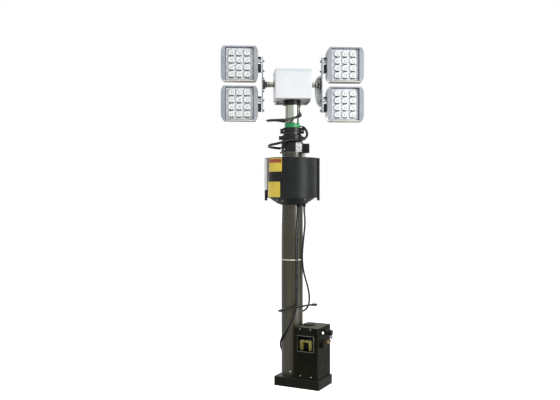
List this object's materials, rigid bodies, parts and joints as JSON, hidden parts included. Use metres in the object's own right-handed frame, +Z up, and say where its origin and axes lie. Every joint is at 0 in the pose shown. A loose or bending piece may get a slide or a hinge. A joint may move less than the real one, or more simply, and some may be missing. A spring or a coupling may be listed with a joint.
{
  "type": "vehicle-mounted telescopic light mast",
  "caption": "Pneumatic telescopic light mast on a bolt-down base: control box, nested tubes, cable drum, pan and tilt head and floodlights in pairs.",
  "frame": {"origin": "where the mast axis meets the underside of the base", "axes": "+X along the base towards the control box, +Y to the rear, away from the control box's window, +Z up"},
  "size_m": [0.7683, 0.512, 1.9865],
  "materials": {
    "dark_steel": "satin",
    "olive_box": "satin",
    "olive_tube": "hard anodised, satin",
    "bright_tube": "clear anodised",
    "bright_metal": "plated",
    "plated_steel": "zinc plated",
    "chrome_fitting": "polished",
    "brass_fitting": "plain",
    "black_metal": "satin",
    "black_plastic": "matte",
    "drum_paint": "satin",
    "clear_glass": "clear",
    "yellow_plastic": "gloss",
    "green_ring": "satin",
    "cable_rubber": "matte",
    "grey_conduit": "matte",
    "grey_paint": "satin",
    "white_paint": "gloss",
    "pale_paint": "satin",
    "lamp_paint": "powder coat",
    "lens_plastic": "clear, moulded"
  },
  "bodies": {
    "mast_base": {"base_plate": "dark_steel", "base_plinth": "olive_box", "foot_spigot": "dark_steel", "outer_tube": "olive_tube", "tube_band": "bright_metal", "outer_collar": "black_metal", "drum_front_shell": "drum_paint", "drum_rear_shell": "drum_paint", "drum_lid": "drum_paint", "drum_dish": "black_metal", "cable_glands": "black_plastic", "junction_bracket": "bright_metal", "junction_box": "black_plastic", "junction_gland": "bright_metal", "control_box": "olive_box", "control_box_front": "olive_box", "window_frame": "bright_metal", "window_pane": "clear_glass", "valve_block": "black_plastic", "valve_coils": "yellow_plastic", "box_cap": "black_plastic", "air_inlet": "chrome_fitting", "blank_plug": "black_plastic", "air_regulator": "black_plastic", "filter_bowl": "clear_glass", "brass_silencer": "brass_fitting", "front_cable": "cable_rubber", "wrapped_cable": "cable_rubber", "cable_plug": "bright_metal", "coil_cable_bottom": "cable_rubber"},
    "stage_2": {"stage2_tube": "bright_tube", "stage2_collar": "black_metal", "coil_cable_middle": "cable_rubber"},
    "stage_3": {"stage3_tube": "bright_tube", "stage3_collar": "black_metal", "seal_ring": "green_ring", "coil_cable_top": "cable_rubber"},
    "top_stage": {"pole": "bright_tube", "pan_flange": "black_metal"},
    "pan_head": {"head_chassis": "grey_paint", "head_cover": "white_paint", "head_lid": "pale_paint", "tilt_drive": "dark_steel"},
    "lamp_frame": {"tilt_shaft": "chrome_fitting", "lamp_bar_left": "plated_steel", "lamp_bar_right": "plated_steel", "knuckles_left": "black_metal", "knuckles_right": "black_metal", "lamp_lead": "grey_conduit", "lamp_housing_upper_left": "lamp_paint", "lamp_housing_lower_left": "lamp_paint", "lenses_left": "lens_plastic", "lamp_housing_upper_right": "lamp_paint", "lamp_housing_lower_right": "lamp_paint", "lenses_right": "lens_plastic"}
  },
  "joints": [
    {"name": "stage_2_slide", "type": "slide", "parent": "mast_base", "child": "stage_2", "axis": [0, 0, 1], "range_m": [0, 1.15], "deforming": ["coil_cable_bottom"]},
    {"name": "stage_3_slide", "type": "slide", "parent": "stage_2", "child": "stage_3", "axis": [0, 0, 1], "range_m": [0, 1.15], "deforming": ["coil_cable_middle"]},
    {"name": "top_stage_slide", "type": "slide", "parent": "stage_3", "child": "top_stage", "axis": [0, 0, 1], "range_m": [0, 1.15], "deforming": ["coil_cable_top"]},
    {"name": "head_pan", "type": "hinge", "parent": "top_stage", "child": "pan_head", "pos_m": [0, 0, 1.676], "axis": [0, 0, 1], "range_deg": [-211, 149]},
    {"name": "lamp_tilt", "type": "hinge", "parent": "pan_head", "child": "lamp_frame", "pos_m": [0, 0, 1.768], "axis": [0.8572, 0.515, 0], "range_deg": [-165, 165]}
  ]
}
